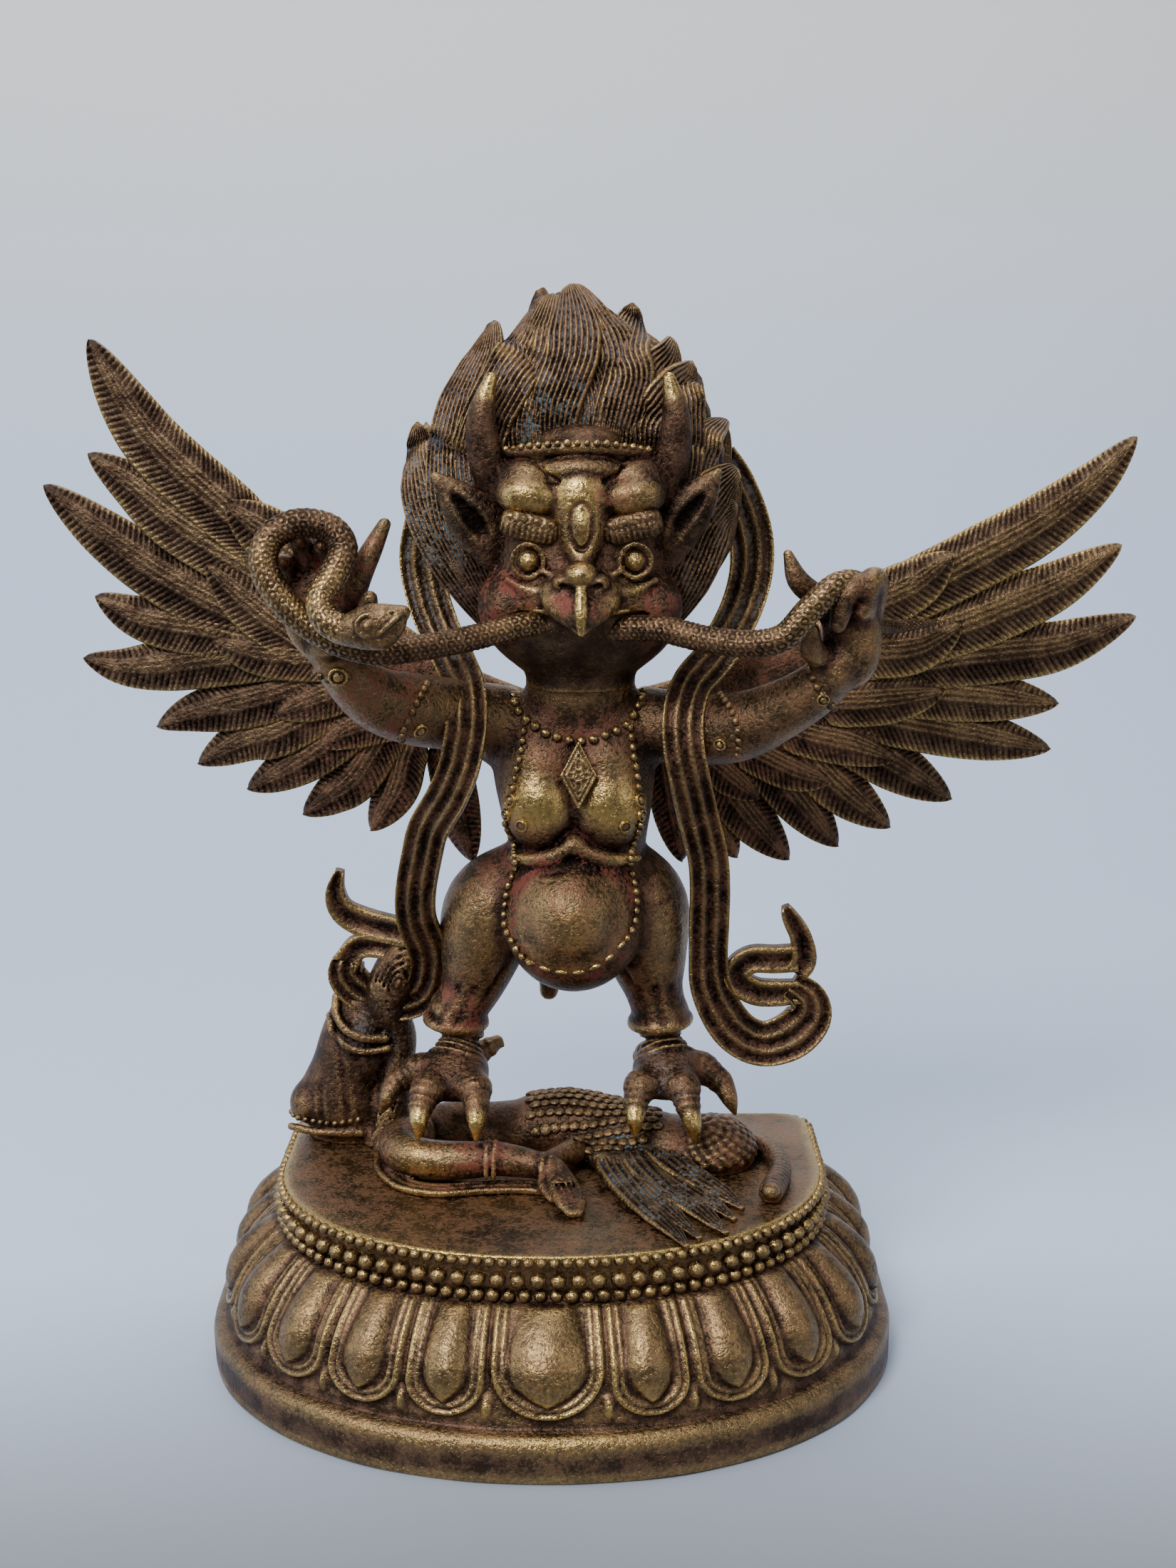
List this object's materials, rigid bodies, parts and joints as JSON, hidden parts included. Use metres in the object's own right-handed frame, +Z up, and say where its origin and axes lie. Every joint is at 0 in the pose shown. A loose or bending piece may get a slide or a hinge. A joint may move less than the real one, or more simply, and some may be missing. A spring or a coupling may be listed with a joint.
{
  "type": "garuda figure",
  "caption": "Cast brass garuda with spread wings, a snake in its beak and hands, standing on a naga on a half-round lotus plinth.",
  "frame": {"origin": "on the underside of the plinth, in its middle from side to side, where the plate on top is widest", "axes": "+X to the viewer's right, -Y towards the viewer (the front of the figure), +Z up"},
  "size_m": [0.349, 0.1393, 0.3303],
  "materials": {
    "cast_brass": "gilt cast brass, rubbed bright on the high spots, brown-black patina in the hollows, worn red and blue pigment"
  },
  "bodies": {
    "root": {"lotus_plinth": "cast_brass", "garuda_figure": "cast_brass"}
  },
  "joints": []
}
